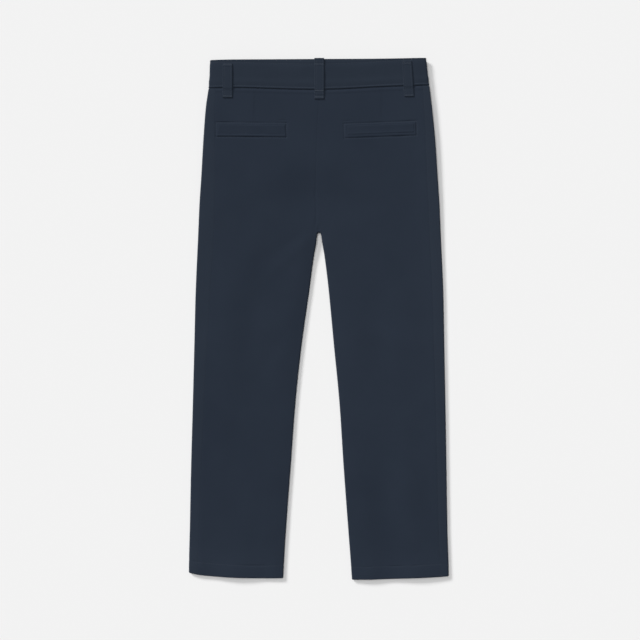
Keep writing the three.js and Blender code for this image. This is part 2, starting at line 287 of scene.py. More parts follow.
def turned(box, u, v):
    """Places at distances along and up a turned box, from its middle."""
    turn = math.radians(box["turn"])
    x = box["x"] + u * math.cos(turn) - v * math.sin(turn)
    return x, box["y"] + u * math.sin(turn) + v * math.cos(turn)


def box_distance(box, x, y):
    """Distance from the sides of a turned box, for a line of stitching round it."""
    turn = math.radians(box["turn"])
    across, up = x - box["x"], y - box["y"]
    u = np.abs(across * math.cos(turn) + up * math.sin(turn)) - box["width"] / 2
    v = np.abs(up * math.cos(turn) - across * math.sin(turn)) - box["height"] / 2
    outside = np.hypot(np.maximum(u, 0), np.maximum(v, 0))
    return outside + np.minimum(np.maximum(u, v), 0)


POCKET_BOXES = chart(
    "side x y turn width height",
    (-1, -0.0944, 0.2644, -0.5, 0.0985, 0.0202),
    (1, 0.0862, 0.2648, 2.2, 0.1015, 0.0202),
)
WELTS = chart(
    "name x y turn width height thin bead",
    ("pocket_welt_left", -0.0938, 0.2652, -0.5, 0.093, 0.0125, 0.00036, 0.0),
    ("pocket_welt_right", 0.0868, 0.2656, 2.2, 0.093, 0.0125, 0.00012, 0.0002),
)
DARTS = chart(
    "x y turn length width far height",
    (-0.0925, 0.2995, 88, 0.04, 0.0022, 0.013, 0.00035),
    (0.0852, 0.3, 91, 0.038, 0.0022, 0.013, 0.00032),
)
CREASE = "x y turn length width height"
POCKET_PULLS = chart(
    CREASE,
    (-0.1325, 0.2752, 0, 0.024, 0.0009, -0.0004),
    (-0.092, 0.2732, -3, 0.016, 0.0009, -0.0003),
    (-0.1, 0.2546, -0.5, 0.09, 0.0009, -0.00025),
    (-0.0455, 0.2665, 90, 0.017, 0.0009, -0.0003),
    (-0.05, 0.2781, -2, 0.01, 0.0009, -0.00035),
    (-0.083, 0.2568, -1, 0.02, 0.0009, 0.0002),
    (-0.105, 0.2569, -0.5, 0.08, 0.0009, 0.0004),
    (0.0405, 0.2772, 3, 0.014, 0.0009, -0.00035),
    (0.077, 0.2745, 2.2, 0.055, 0.0009, -0.0002),
    (0.1275, 0.2772, 3, 0.02, 0.0009, -0.00045),
    (0.1365, 0.2672, 90, 0.013, 0.0009, -0.00045),
    (0.0555, 0.2535, 2, 0.04, 0.0009, -0.0003),
    (0.102, 0.2553, 2.2, 0.05, 0.001, -0.0003),
    (0.116, 0.2562, 4, 0.018, 0.0014, -0.0003),
)
SEAM_PULLS = chart(
    CREASE,
    (-0.0052, 0.175, 90, 0.012, 0.0022, -0.0003),
    (-0.0045, 0.134, 84, 0.026, 0.002, -0.00035),
    (0.0005, 0.1265, 60, 0.009, 0.0022, -0.0004),
)
BACK_CREASES = chart(
    CREASE,
    (-0.005, 0.222, 3, 0.24, 0.026, 0.0008),
    (-0.062, 0.232, 14, 0.15, 0.016, 0.00035),
    (0.074, 0.226, -9, 0.17, 0.018, 0.0003),
    (0.02, 0.168, -5, 0.2, 0.019, -0.0006),
    (-0.04, 0.088, 42, 0.085, 0.0075, 0.00045),
    (-0.047, 0.104, 34, 0.08, 0.007, -0.00032),
    (0.041, 0.09, -44, 0.09, 0.008, 0.00045),
    (0.05, 0.108, -33, 0.08, 0.007, -0.0003),
    (0.012, 0.204, 80, 0.11, 0.014, 0.00028),
    (-0.118, 0.17, 72, 0.13, 0.013, -0.0003),
    (0.132, 0.12, -80, 0.16, 0.014, 0.0003),
    (-0.133, 0.03, 86, 0.32, 0.021, 0.0009),
    (-0.09, 0.02, 82, 0.22, 0.016, -0.0005),
    (-0.058, -0.07, 78, 0.3, 0.017, 0.0008),
    (0.13, -0.01, -86, 0.3, 0.022, 0.0009),
    (0.092, -0.05, -84, 0.26, 0.015, -0.00055),
    (0.055, -0.04, -78, 0.2, 0.016, 0.0007),
    (-0.062, -0.045, 58, 0.09, 0.009, -0.0003),
    (0.066, -0.02, -62, 0.08, 0.009, -0.0003),
    (-0.135, -0.2, 88, 0.24, 0.02, 0.0008),
    (-0.096, -0.22, 76, 0.18, 0.015, -0.0005),
    (-0.07, -0.26, 84, 0.16, 0.013, 0.0006),
    (0.128, -0.22, -88, 0.22, 0.02, 0.0008),
    (0.088, -0.2, -80, 0.2, 0.015, -0.0005),
    (0.068, -0.29, -84, 0.13, 0.013, 0.0006),
    (-0.08, -0.3, 20, 0.08, 0.012, 0.0002),
    (0.12, -0.305, -24, 0.09, 0.012, 0.00022),
    (-0.11, -0.35, -3, 0.09, 0.02, 0.0006),
    (0.112, -0.352, 2, 0.1, 0.02, 0.0007),
)
SWELLS = chart(
    CREASE,
    (-0.085, 0.186, 24, 0.13, 0.023, 0.0012),
    (0.09, 0.176, -28, 0.14, 0.024, 0.0014),
    (-0.1, 0.075, 70, 0.17, 0.026, 0.0015),
    (0.1, 0.06, -72, 0.18, 0.026, 0.0017),
    (-0.112, -0.085, 96, 0.16, 0.025, 0.0016),
    (0.095, -0.1, -98, 0.17, 0.025, 0.0014),
    (-0.1, -0.235, 84, 0.15, 0.025, 0.0016),
    (0.12, -0.225, -82, 0.16, 0.024, 0.0018),
    (-0.09, -0.008, 8, 0.12, 0.02, 0.0007),
    (0.1, -0.028, -10, 0.12, 0.02, 0.0007),
)
# Lighter and darker patches painted into the cloth's colour for the light as it fell: painted sheen
# along the right edge and the hems, painted light beside the crotch and down the right leg's
# inside, and painted shade along the left edge and over patches of the seat, the right pocket and
# the lower legs.
PAINTED_LIGHT_AND_SHADE = chart(
    CREASE,
    (0.168, 0.13, 89, 0.65, 0.044, 0.46),
    (0.024, 0.12, 72, 0.11, 0.028, 0.3),
    (0.042, 0.0, 84, 0.12, 0.02, 0.16),
    (-0.165, 0.0, 89, 0.5, 0.02, -0.12),
    (-0.145, -0.165, 88, 0.19, 0.05, -0.22),
    (-0.045, 0.205, 0, 0.06, 0.03, -0.15),
    (0.055, 0.262, 2, 0.06, 0.03, -0.18),
    (0.07, -0.268, 86, 0.12, 0.034, -0.2),
    (-0.122, -0.342, -3, 0.14, 0.027, 0.33),
    (0.13, -0.351, 2, 0.15, 0.022, 0.2),
)
PUCKER = {"height": 0.00007, "reach": 0.006, "wave": 520, "wander": 83, "cross": 311}
SWELL_EDGE = {"from": 0.001, "to": 0.028}


def swell(side, x, y):
    """Wide low places where air lies under the cloth. They die away before its edges."""
    from_edge = nearest_edge(side, x, y)[0]
    return creases(SWELLS, x, y) * ease(from_edge, SWELL_EDGE["from"], SWELL_EDGE["to"])


def puckers(along, distance):
    """The small uneven gathers that a row of stitching pulls into the cloth beside it."""
    wander = 1.7 * np.sin(along * PUCKER["wander"])
    waves = np.sin(along * PUCKER["wave"] + wander) + 0.6 * np.sin(along * PUCKER["cross"] + 2)
    return PUCKER["height"] * waves * np.exp(-np.abs(distance) / PUCKER["reach"])


BELOW_BAND = chart(
    "below height",
    (0.0, -0.0008), (0.001, -0.0006), (0.0028, 0.0001), (0.004, 0.00025), (0.0055, 0.0002),
    (0.007, 0.0), (0.012, 0.00005), (0.02, 0.0),
)
POCKET_PUFF = {"height": 0.0005, "edge": 0.0018, "lower": 0.55, "middle": 0.004,
               "under_welt": 0.0012, "past_welt": 0.0004}
BOX_LINE = {"depth": 0.00055, "width": 0.0011, "uneven": 0.25, "across": 140, "up": 260}


def pocket_relief(box, welt, x, y):
    """A pocket's layers raise the cloth inside its stitched box, but not below the welt."""
    from_box = box_distance(box, x, y)
    from_welt = box_distance(welt, x, y)
    wave = np.sin(x * BOX_LINE["across"] + y * BOX_LINE["up"] + box["side"])
    uneven = 1 - BOX_LINE["uneven"] * (1 - wave)
    clear = ease(from_welt, -POCKET_PUFF["under_welt"], POCKET_PUFF["past_welt"])
    above = 1 - ease(box["y"] - y, -POCKET_PUFF["middle"], POCKET_PUFF["middle"])
    lower = 1 - (1 - POCKET_PUFF["lower"]) * above
    raised = POCKET_PUFF["height"] * ease(-from_box, 0, POCKET_PUFF["edge"]) * lower
    height = raised * clear + puckers(x + y, from_box) + creases(POCKET_PULLS, x, y) * clear
    return height + groove(from_box, BOX_LINE["depth"], BOX_LINE["width"]) * uneven


def side_groove(side, x, y):
    """The side seam, which lies on the back where the front has rolled round."""
    seam = outer_x(side, y) - side * read(SIDE_SEAM, "y", SIDE_NAMES[side], y)
    return groove(np.abs(x - seam), SEAM_LINE["side"], SEAM_LINE["width"])


def back_relief(side, x, y, face):
    """What sewing and wear do to the flat panel: seams sink, stitched lines pull it down."""
    below_waist = waist_seam(x, face) - y
    above_hem = y - hem_edge(side, x, y)
    from_centre = np.where(y > CROTCH["y"], side * (x - centre_x(y, 1)), 1.0)
    height = creases(BACK_CREASES + DARTS + SEAM_PULLS, x, y) + swell(side, x, y)
    height += read(BELOW_BAND, "below", "height", below_waist) + puckers(x, below_waist)
    height += groove(from_centre, SEAM_LINE["centre"], SEAM_LINE["width"])
    height += side_groove(side, x, y) + hem_relief(x, above_hem)
    for box, welt in zip(POCKET_BOXES, WELTS):
        if box["side"] == side:
            height += pocket_relief(box, welt, x, y)
    return height


HEM_PULLS = chart(
    "x reach depth",
    (-0.091, 0.018, 0.0005),
    (-0.172, 0.006, 0.00035),
    (0.107, 0.011, 0.00045),
    (0.136, 0.006, 0.0004),
    (0.068, 0.008, 0.0003),
)
HEM_WAVES = chart(
    "x reach height",
    (-0.15, 0.015, -0.0009),
    (-0.118, 0.019, 0.0007),
    (-0.078, 0.016, -0.0012),
    (0.071, 0.013, 0.0005),
    (0.1, 0.018, -0.0012),
    (0.142, 0.019, 0.0008),
)
HEM_WAVE_REACH = 0.05


def hem_rounding(above_hem):
    """The outer face turns in at the very edge of the hem."""
    edge = np.clip(1 - above_hem / HEM_TURN["edge"], 0, 1)
    return -HEM_TURN["round"] * (1 - np.sqrt(1 - edge**2 * FULL_ROUND))


def hem_relief(x, above_hem):
    """The turned hem: a stitched line, doubled cloth below it and a rounded, uneven edge."""
    waves = [row["height"] * np.exp(-(((x - row["x"]) / row["reach"]) ** 2)) for row in HEM_WAVES]
    wave = sum(waves) * (1 - ease(above_hem, 0, HEM_WAVE_REACH))
    pulls = [row["depth"] * np.exp(-(((x - row["x"]) / row["reach"]) ** 4)) for row in HEM_PULLS]
    from_line = above_hem - HEM_TURN["depth"]
    doubled = HEM_TURN["rise"] * ease(-from_line, -0.002, 0.009)
    line = groove(from_line, HEM_TURN["line"] + sum(pulls), HEM_TURN["line_width"])
    return doubled + line + hem_rounding(above_hem) + wave + puckers(x, from_line)


def quads(a, b, c, d):
    """Faces between four grids of corners."""
    return np.stack([a, b, c, d], -1).reshape(-1, 4)


def cloth_mesh(name, outer, inner, grain, painted_light=None):
    """A closed wall between two grids of points, with the weave's own coordinates."""
    rows, columns = outer.shape[:2]
    index = np.arange(rows * columns).reshape(rows, columns)
    under = index + rows * columns
    top = quads(index[:-1, :-1], index[:-1, 1:], index[1:, 1:], index[1:, :-1])
    bottom = quads(under[1:, :-1], under[1:, 1:], under[:-1, 1:], under[:-1, :-1])
    rims = [
        quads(under[0, :-1], under[0, 1:], index[0, 1:], index[0, :-1]),
        quads(index[-1, :-1], index[-1, 1:], under[-1, 1:], under[-1, :-1]),
        quads(index[:-1, 0], index[1:, 0], under[1:, 0], under[:-1, 0]),
        quads(under[:-1, -1], under[1:, -1], index[1:, -1], index[:-1, -1]),
    ]
    points = np.concatenate([outer.reshape(-1, 3), inner.reshape(-1, 3)])
    places = np.concatenate([grain.reshape(-1, 2)] * 2)
    painted_lights = None if painted_light is None else np.concatenate([painted_light.ravel()] * 2)
    return finished_mesh(name, points, np.concatenate([top, bottom, *rims]), places, painted_lights)


def put(name, data):
    """A new object in the scene, at the origin."""
    thing = bpy.data.objects.new(name, data)
    bpy.context.scene.collection.objects.link(thing)
    return thing


def smooth(mesh, sharp_angle):
    """Smooth faces, with an edge kept wherever they meet at more than the angle."""
    mesh.polygons.foreach_set("use_smooth", [True] * len(mesh.polygons))
    mesh.set_sharp_from_angle(angle=math.radians(sharp_angle))


def finished_mesh(name, points, faces, grain, painted_lights=None):
    """A smooth mesh whose faces point outwards, with the weave's coordinates as its UV map."""
    corners = points[faces[:, :3]]
    if np.einsum("ij,ij->i", corners[:, 0], np.cross(corners[:, 1], corners[:, 2])).sum() < 0:
        faces = faces[:, ::-1]
    mesh = bpy.data.meshes.new(name)
    mesh.from_pydata(points.tolist(), [], faces.tolist())
    mesh.update()
    layer = mesh.uv_layers.new(name="grain")
    layer.data.foreach_set("uv", grain[faces.ravel()].astype(np.float32).ravel())
    # The painted light and shade are kept on each point, for the colour.
    if painted_lights is not None:
        painted_light_layer = mesh.attributes.new("painted_light", "FLOAT", "POINT")
        painted_light_layer.data.foreach_set("value", painted_lights.astype(np.float32))
    smooth(mesh, 55)
    return put(name, mesh)


ROLL = [90, 75, 60, 45, 30, 15, 0]
PANEL_ROWS = {
    "back": chart(
        "at reach step",
        (-0.356, 0.013, 0.0008),
        (0.118, 0.006, 0.0006),
        (0.265, 0.0155, 0.0006),
        (0.32, 0.006, 0.0007),
    ),
    "front": chart(
        "at reach step",
        (-0.356, 0.013, 0.001),
        (0.118, 0.006, 0.0006),
        (0.265, 0.05, 0.003),
        (0.32, 0.006, 0.0009),
    ),
}


TIP_TURNS = (70, 82, 90)
ROW_CLEARANCE = 0.0001


def panel_rows(kind, step):
    """Heights of the rows, with one at each step of the round top of the gap."""
    tips = [CROTCH["y"] + CROTCH["radius"] * math.sin(math.radians(turn)) for turn in TIP_TURNS]
    rows = np.array(stops(HEM_ROW, WAIST_ROW, step, PANEL_ROWS[kind]))
    clear = np.abs(rows[:, None] - tips).min(1) > ROW_CLEARANCE
    return np.sort(np.concatenate([rows[clear], tips]))


def rolled(angle, roll=EDGE_ROLL):
    """How far inside the outline the cloth is when it has turned to an angle."""
    return roll * (1 - math.cos(math.radians(angle)))


def station_x(side, y, kind, value, face):
    """Where a line down the panel lies: by distance from an edge, or by share of the width."""
    outside, inside = outer_x(side, y), panel_inner_x(side, y, face)
    seam = read(SIDE_SEAM, "y", SIDE_NAMES[side], y)
    if kind == "outer":
        return outside - side * value
    if kind == "inner":
        return inside + side * value
    if kind == "wrap":
        return outside - side * ((seam - SEAM_PART / 2) * (1 - value) + EDGE_ROLL * value)
    margin = seam + SEAM_PART / 2 if face > 0 else EDGE_ROLL
    start = outside - side * margin
    return start + (inside + side * EDGE_ROLL - start) * value


def cloth_panel(name, side, stations, rows, relief):
    """A panel's wall, worked out one line of places down the leg at a time."""
    outer = np.zeros((len(rows), len(stations), 3))
    inner = np.zeros_like(outer)
    grain = np.zeros((len(rows), len(stations), 2))
    painted_light = np.zeros(outer.shape[:2])
    arc = np.zeros(len(rows))
    last = None
    for column, (face, kind, value) in enumerate(stations):
        x, y = settled(
            lambda at: station_x(side, at, kind, value, face),
            rows,
            lambda at: row_y(side, rows, at, face),
        )
        points, out = lie(side, x, y, face)
        points = points + out * relief(side, x, y, face)[:, None]
        above_hem = y - hem_edge(side, x, y)
        wall = WALL + HEM_TURN["extra"] * (1 - ease(above_hem, HEM_TURN["full"], HEM_TURN["depth"]))
        outer[:, column] = points
        inner[:, column] = points - out * wall[:, None]
        arc = arc if last is None else arc + np.linalg.norm((points - last)[:, [0, 2]], axis=1)
        last = points
        grain[:, column] = np.stack([arc, y], -1)
        # The painted light and shade for the colour at each place.
        painted_light[:, column] = creases(PAINTED_LIGHT_AND_SHADE, x, y)
    return cloth_mesh(name, outer, inner, grain, painted_light)


POCKET_END_SHARES = {-1: (0.022, 0.7), 1: (0.08, 0.785)}
DART_SHARES = {-1: 0.38, 1: 0.42}


def back_stations(side):
    """Lines down a back panel, from the side seam to the inner edge."""
    ends = [(at, 0.02, 0.0048) for at in POCKET_END_SHARES[side]]
    edges = [(at, 0.01, 0.0035) for at in (0, 1)]
    fine = chart("at reach step", *ends, *edges, (DART_SHARES[side], 0.022, 0.0055))
    shares = [(1, "share", share) for share in stops(0.0, 1.0, 0.0155, fine)]
    return shares + [(1, "inner", rolled(angle)) for angle in ROLL[1:]]


panels = {}
for side, word in SIDE_NAMES.items():
    rows = panel_rows("back", 0.003)
    panels[f"back_{word}"] = cloth_panel(
        f"back_{word}_cloth", side, back_stations(side), rows, back_relief
    )


def input_socket(group, name, kind, value=None):
    """A named input of a node group, with its usual value."""
    socket = group.interface.new_socket(name=name, in_out="INPUT", socket_type=kind)
    if value is not None:
        socket.default_value = value
    return socket


def feed(tree, socket, value):
    """Give a socket a number, or the output of another node."""
    if isinstance(value, (int, float)):
        socket.default_value = value
    else:
        tree.links.new(value, socket)


def math_node(tree, operation, *values):
    """A sum over the surface, from numbers and the outputs of other nodes."""
    node = tree.nodes.new("ShaderNodeMath")
    node.operation = operation
    for place, value in enumerate(values):
        feed(tree, node.inputs[place], value)
    return node.outputs[0]


def noise(tree, place, scale, detail):
    """A soft uneven value over the surface."""
    cloud = tree.nodes.new("ShaderNodeTexNoise")
    tree.links.new(place, cloud.inputs["Vector"])
    feed(tree, cloud.inputs["Scale"], scale)
    feed(tree, cloud.inputs["Detail"], detail)
    return cloud.outputs["Fac"]


WEAVE = {"slub_scale": 260, "slub_detail": 3, "wander": 2.2, "yarns": 2.1, "yarn": 0.25,
         "rib": 0.6, "slub": 0.3, "mottle_detail": 2, "mottle": 0.55, "base": 0.12, "shaded": 0.3}


def twill_group():
    """Twill: fine diagonal ribs crossed by the yarns, with slubs and a faint dye mottle."""
    group = bpy.data.node_groups.new("twill", "ShaderNodeTree")
    input_socket(group, "Place", "NodeSocketVector")
    input_socket(group, "Rib spacing", "NodeSocketFloat", 0.0009)
    input_socket(group, "Rib slant", "NodeSocketFloat", 1.3)
    input_socket(group, "Mottle size", "NodeSocketFloat", 0.05)
    for name in ("Shade", "Height"):
        group.interface.new_socket(name=name, in_out="OUTPUT", socket_type="NodeSocketFloat")
    start = group.nodes.new("NodeGroupInput")
    end = group.nodes.new("NodeGroupOutput")
    split = group.nodes.new("ShaderNodeSeparateXYZ")
    group.links.new(start.outputs["Place"], split.inputs[0])
    across, along = split.outputs[0], split.outputs[1]
    slanted = math_node(group, "MULTIPLY_ADD", across, start.outputs["Rib slant"], along)
    turn = math_node(group, "DIVIDE", math.tau, start.outputs["Rib spacing"])
    slub = noise(group, start.outputs["Place"], WEAVE["slub_scale"], WEAVE["slub_detail"])
    wander = math_node(group, "MULTIPLY", slub, WEAVE["wander"])
    phase = math_node(group, "MULTIPLY_ADD", slanted, turn, wander)
    rib = math_node(group, "MULTIPLY_ADD", math_node(group, "SINE", phase), 0.5, 0.5)
    yarn_turn = math_node(group, "MULTIPLY", turn, WEAVE["yarns"])
    yarn_phase = math_node(group, "MULTIPLY", across, yarn_turn)
    yarn = math_node(group, "MULTIPLY_ADD", math_node(group, "SINE", yarn_phase), 0.5, 0.5)
    ribbed = math_node(group, "MULTIPLY", rib, WEAVE["rib"])
    woven = math_node(group, "MULTIPLY_ADD", yarn, WEAVE["yarn"], ribbed)
    height = math_node(group, "MULTIPLY_ADD", slub, WEAVE["slub"], woven)
    patches = math_node(group, "DIVIDE", 1.0, start.outputs["Mottle size"])
    mottle = noise(group, start.outputs["Place"], patches, WEAVE["mottle_detail"])
    soft = math_node(group, "MULTIPLY_ADD", mottle, WEAVE["mottle"], WEAVE["base"])
    shade = math_node(group, "MULTIPLY_ADD", height, WEAVE["shaded"], soft)
    group.links.new(shade, end.inputs["Shade"])
    group.links.new(height, end.inputs["Height"])
    return group


TWILL = twill_group()


def plain_material(name, roughness, specular):
    """A material, with the shader and the node tree that it is finished by."""
    material = bpy.data.materials.new(name)
    material.use_nodes = True
    shader = material.node_tree.nodes["Principled BSDF"]
    shader.inputs["Roughness"].default_value = roughness
    shader.inputs["Specular IOR Level"].default_value = specular
    return material, shader, material.node_tree


def two_shades(tree, shader, value, dark, light):
    """A base colour between two shades, by a value over the surface."""
    colours = tree.nodes.new("ShaderNodeValToRGB")
    colours.color_ramp.elements[0].color = (*dark, 1)
    colours.color_ramp.elements[1].color = (*light, 1)
    tree.links.new(value, colours.inputs["Fac"])
    tree.links.new(colours.outputs["Color"], shader.inputs["Base Color"])


def cloth_material(name, dark, light):
    """Matt cotton twill between two navy shades, with its weave as a fine bump."""
    material, shader, tree = plain_material(name, 0.88, 0.14)
    place = tree.nodes.new("ShaderNodeUVMap")
    place.uv_map = "grain"
    weave = tree.nodes.new("ShaderNodeGroup")
    weave.node_tree = TWILL
    tree.links.new(place.outputs["UV"], weave.inputs["Place"])
    # The points' painted light and shade lighten or darken the weave's colour.
    painted_light_layer = tree.nodes.new("ShaderNodeAttribute")
    painted_light_layer.attribute_name = "painted_light"
    shade = math_node(tree, "ADD", weave.outputs["Shade"], painted_light_layer.outputs["Fac"])
    two_shades(tree, shader, shade, dark, light)
    relief = tree.nodes.new("ShaderNodeBump")
    relief.inputs["Distance"].default_value = 0.00006
    relief.inputs["Strength"].default_value = 0.8
    tree.links.new(weave.outputs["Height"], relief.inputs["Height"])
    tree.links.new(relief.outputs["Normal"], shader.inputs["Normal"])
    shader.inputs["Sheen Weight"].default_value = 0.1
    shader.inputs["Sheen Roughness"].default_value = 0.5
    shader.inputs["Sheen Tint"].default_value = (0.62, 0.72, 0.9, 1)
    return material


NAVY_TWILL = cloth_material("navy twill", (0.0113, 0.0175, 0.0297), (0.0166, 0.0242, 0.0386))


def dress(piece, material, *nodes, slot="twill"):
    """The finished piece wears its material and stands in for its solids."""
    piece.data.materials.clear()
    piece.data.materials.append(material)
    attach(piece, "root")
    if nodes:
        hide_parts(*nodes)


def clouded_material(name, scale, dark, light, roughness, specular):
    """One smooth stuff whose colour drifts a little between two shades."""
    material, shader, tree = plain_material(name, roughness, specular)
    place = tree.nodes.new("ShaderNodeTexCoord")
    cloud = noise(tree, place.outputs["Object"], scale, 2)
    two_shades(tree, shader, cloud, dark, light)
    return material


def thread_material():
    """Mercerised polyester thread, a little smoother than the cloth. Its shade is a little lighter
    than the cloth's: partly its own tone, partly painted highlight along the stitching.
    """
    dark, light = (0.019, 0.028, 0.044), (0.032, 0.043, 0.062)
    return clouded_material("navy thread", 1500, dark, light, 0.6, 0.3)


NAVY_THREAD = thread_material()
STITCH = {"Spacing": 0.0031, "Length": 0.0025, "Width": 0.00045, "Height": 0.0003, "Turn": 0.0}
BAR = {"Spacing": 0.00042, "Length": 0.0019, "Width": 0.00042, "Height": 0.00032, "Turn": 1.35}


def stitch_group():
    """One thread, repeated along each path and laid on the surface the path follows."""
    tree = bpy.data.node_groups.new("stitches", "GeometryNodeTree")
    input_socket(tree, "Paths", "NodeSocketGeometry")
    for name, value in STITCH.items():
        input_socket(tree, name, "NodeSocketFloat", value)
    input_socket(tree, "Seed", "NodeSocketInt", 7)
    input_socket(tree, "Material", "NodeSocketMaterial")
    tree.interface.new_socket(name="Thread", in_out="OUTPUT", socket_type="NodeSocketGeometry")
    add = tree.nodes.new
    start, end = add("NodeGroupInput"), add("NodeGroupOutput")
    curve, points = add("GeometryNodeMeshToCurve"), add("GeometryNodeCurveToPoints")
    points.mode = "LENGTH"
    out = add("GeometryNodeInputNamedAttribute")
    out.data_type = "FLOAT_VECTOR"
    out.inputs["Name"].default_value = "out"
    face, spin = add("FunctionNodeAxesToRotation"), add("FunctionNodeRotateRotation")
    spin.rotation_space = "LOCAL"
    uneven = add("FunctionNodeRandomValue")
    uneven.inputs[2].default_value, uneven.inputs[3].default_value = -0.09, 0.09
    angle, euler = add("ShaderNodeMath"), add("ShaderNodeCombineXYZ")
    ball, size = add("GeometryNodeMeshUVSphere"), add("ShaderNodeCombineXYZ")
    ball.inputs["Segments"].default_value, ball.inputs["Rings"].default_value = 8, 5
    ball.inputs["Radius"].default_value = 0.5
    thread, laid = add("GeometryNodeTransform"), add("GeometryNodeInstanceOnPoints")
    real, round_off = add("GeometryNodeRealizeInstances"), add("GeometryNodeSetShadeSmooth")
    coat = add("GeometryNodeSetMaterial")
    for source, output, target, into in (
        (start, "Paths", curve, "Mesh"),
        (curve, "Curve", points, "Curve"),
        (start, "Spacing", points, "Length"),
        (out, "Attribute", face, "Primary Axis"),
        (points, "Tangent", face, "Secondary Axis"),
        (start, "Seed", uneven, "Seed"),
        (start, "Turn", angle, 0),
        (uneven, 1, angle, 1),
        (angle, 0, euler, "Z"),
        (face, "Rotation", spin, "Rotation"),
        (euler, 0, spin, "Rotate By"),
        (start, "Length", size, "X"),
        (start, "Width", size, "Y"),
        (start, "Height", size, "Z"),
        (ball, "Mesh", thread, "Geometry"),
        (size, 0, thread, "Scale"),
        (points, "Points", laid, "Points"),
        (thread, "Geometry", laid, "Instance"),
        (spin, "Rotation", laid, "Rotation"),
        (laid, "Instances", real, "Geometry"),
        (real, "Geometry", round_off, "Geometry"),
        (round_off, "Geometry", coat, "Geometry"),
        (start, "Material", coat, "Material"),
        (coat, "Geometry", end, "Thread"),
    ):
        tree.links.new(source.outputs[output], target.inputs[into])
    return tree


STITCHES = stitch_group()


def made_mesh(piece):
    """The plain mesh that a piece's modifiers make."""
    seen = piece.evaluated_get(bpy.context.evaluated_depsgraph_get())
    return bpy.data.meshes.new_from_object(seen)


def sew(name, paths, kind, seed):
    """A mesh of thread along paths, each a pair of points and directions out of the cloth."""
    points = np.concatenate([path for path, _ in paths])
    outs = np.concatenate([out for _, out in paths])
    starts = np.cumsum([0] + [len(path) for path, _ in paths])
    edges = [(i, i + 1) for a, b in zip(starts[:-1], starts[1:]) for i in range(a, b - 1)]
    mesh = bpy.data.meshes.new(name)
    mesh.from_pydata(points.tolist(), edges, [])
    attribute = mesh.attributes.new("out", "FLOAT_VECTOR", "POINT")
    attribute.data.foreach_set("vector", outs.astype(np.float32).ravel())
    line = put(name + "_path", mesh)
    modifier = line.modifiers.new("stitches", "NODES")
    modifier.node_group = STITCHES
    values = {**kind, "Seed": seed, "Material": NAVY_THREAD}
    for socket in STITCHES.interface.items_tree:
        if socket.in_out == "INPUT" and socket.name in values:
            modifier[socket.identifier] = values[socket.name]
    thread = put(name, made_mesh(line))
    bpy.data.objects.remove(line)
    for layer in list(thread.data.attributes):
        if layer.name == "out":
            thread.data.attributes.remove(layer)
    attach(thread, "root")
    return thread


PANEL_SINK = 0.00002


def on_panel(side, x, y, face, relief):
    """Places on the finished cloth, for a thread that lies in its groove."""
    points, out = lie(side, x, y, face)
    return points + out * (relief(side, x, y, face)[:, None] - PANEL_SINK), out


def box_path(box):
    """The sides of a turned box, as one closed line of places."""
    corners = [(-1, 1), (1, 1), (1, -1), (-1, -1), (-1, 1)]
    share = np.linspace(0, 1, 60)[:-1, None]
    ends = np.array([(u * box["width"] / 2, v * box["height"] / 2) for u, v in corners])
    line = np.concatenate([a + (b - a) * share for a, b in zip(ends[:-1], ends[1:])])
    return turned(box, line[:, 0], line[:, 1])


HEM_STITCHED = {1: (0.075, 0.98), -1: (0.015, 0.985)}
HEM_STITCH_ROW = -0.345


def hem_path(side, face, relief):
    """Across one face of a leg at the depth of the turned hem."""
    share = np.linspace(*HEM_STITCHED[face], 80)
    outside, inside = outer_x(side, HEM_STITCH_ROW), inner_x(side, HEM_STITCH_ROW)
    x = outside + (inside - outside) * share
    y = read(HEM, "share", SIDE_NAMES[side], share) + HEM_TURN["depth"]
    return on_panel(side, x, y, face, relief)


BACK_CUT = {"left": (0.17, 0.688, 0.098), "right": (0.169, 0.692, 0.098)}
for side, word in SIDE_NAMES.items():
    piece = panels[f"back_{word}"]
    dress(piece, NAVY_TWILL, f"back_{word}")
    width, length, area = BACK_CUT[word]

hem_lines = [hem_path(side, 1, back_relief) for side in SIDE_NAMES]
box_lines = [on_panel(box["side"], *box_path(box), 1, back_relief) for box in POCKET_BOXES]
sew("back_stitching", hem_lines + box_lines, STITCH, 11)

# The two front panels, also navy twill: they lie underneath and roll round the sides on to
# the back as far as the side seams. A slanted pocket mouth is folded and stitched in each.
FRONT_CUT = {"left": (0.205, 0.688, 0.11), "right": (0.2, 0.692, 0.11)}
POCKET_MOUTH = {"top": 0.104, "foot": 0.148, "high": 0.316, "low": 0.215, "fold": 0.0008,
                "width": 0.0019, "facing": 0.016}
FRONT_SEAM = {"depth": 0.0006, "width": 0.0019}
FRONT_HEM_LINE = {"depth": 0.00025, "width": 0.0012}
FRONT_CREASING = 0.8


def mouth_x(down):
    """How far out the slanted mouth of a front pocket lies, by its share of the way down."""
    return POCKET_MOUTH["top"] + (POCKET_MOUTH["foot"] - POCKET_MOUTH["top"]) * down


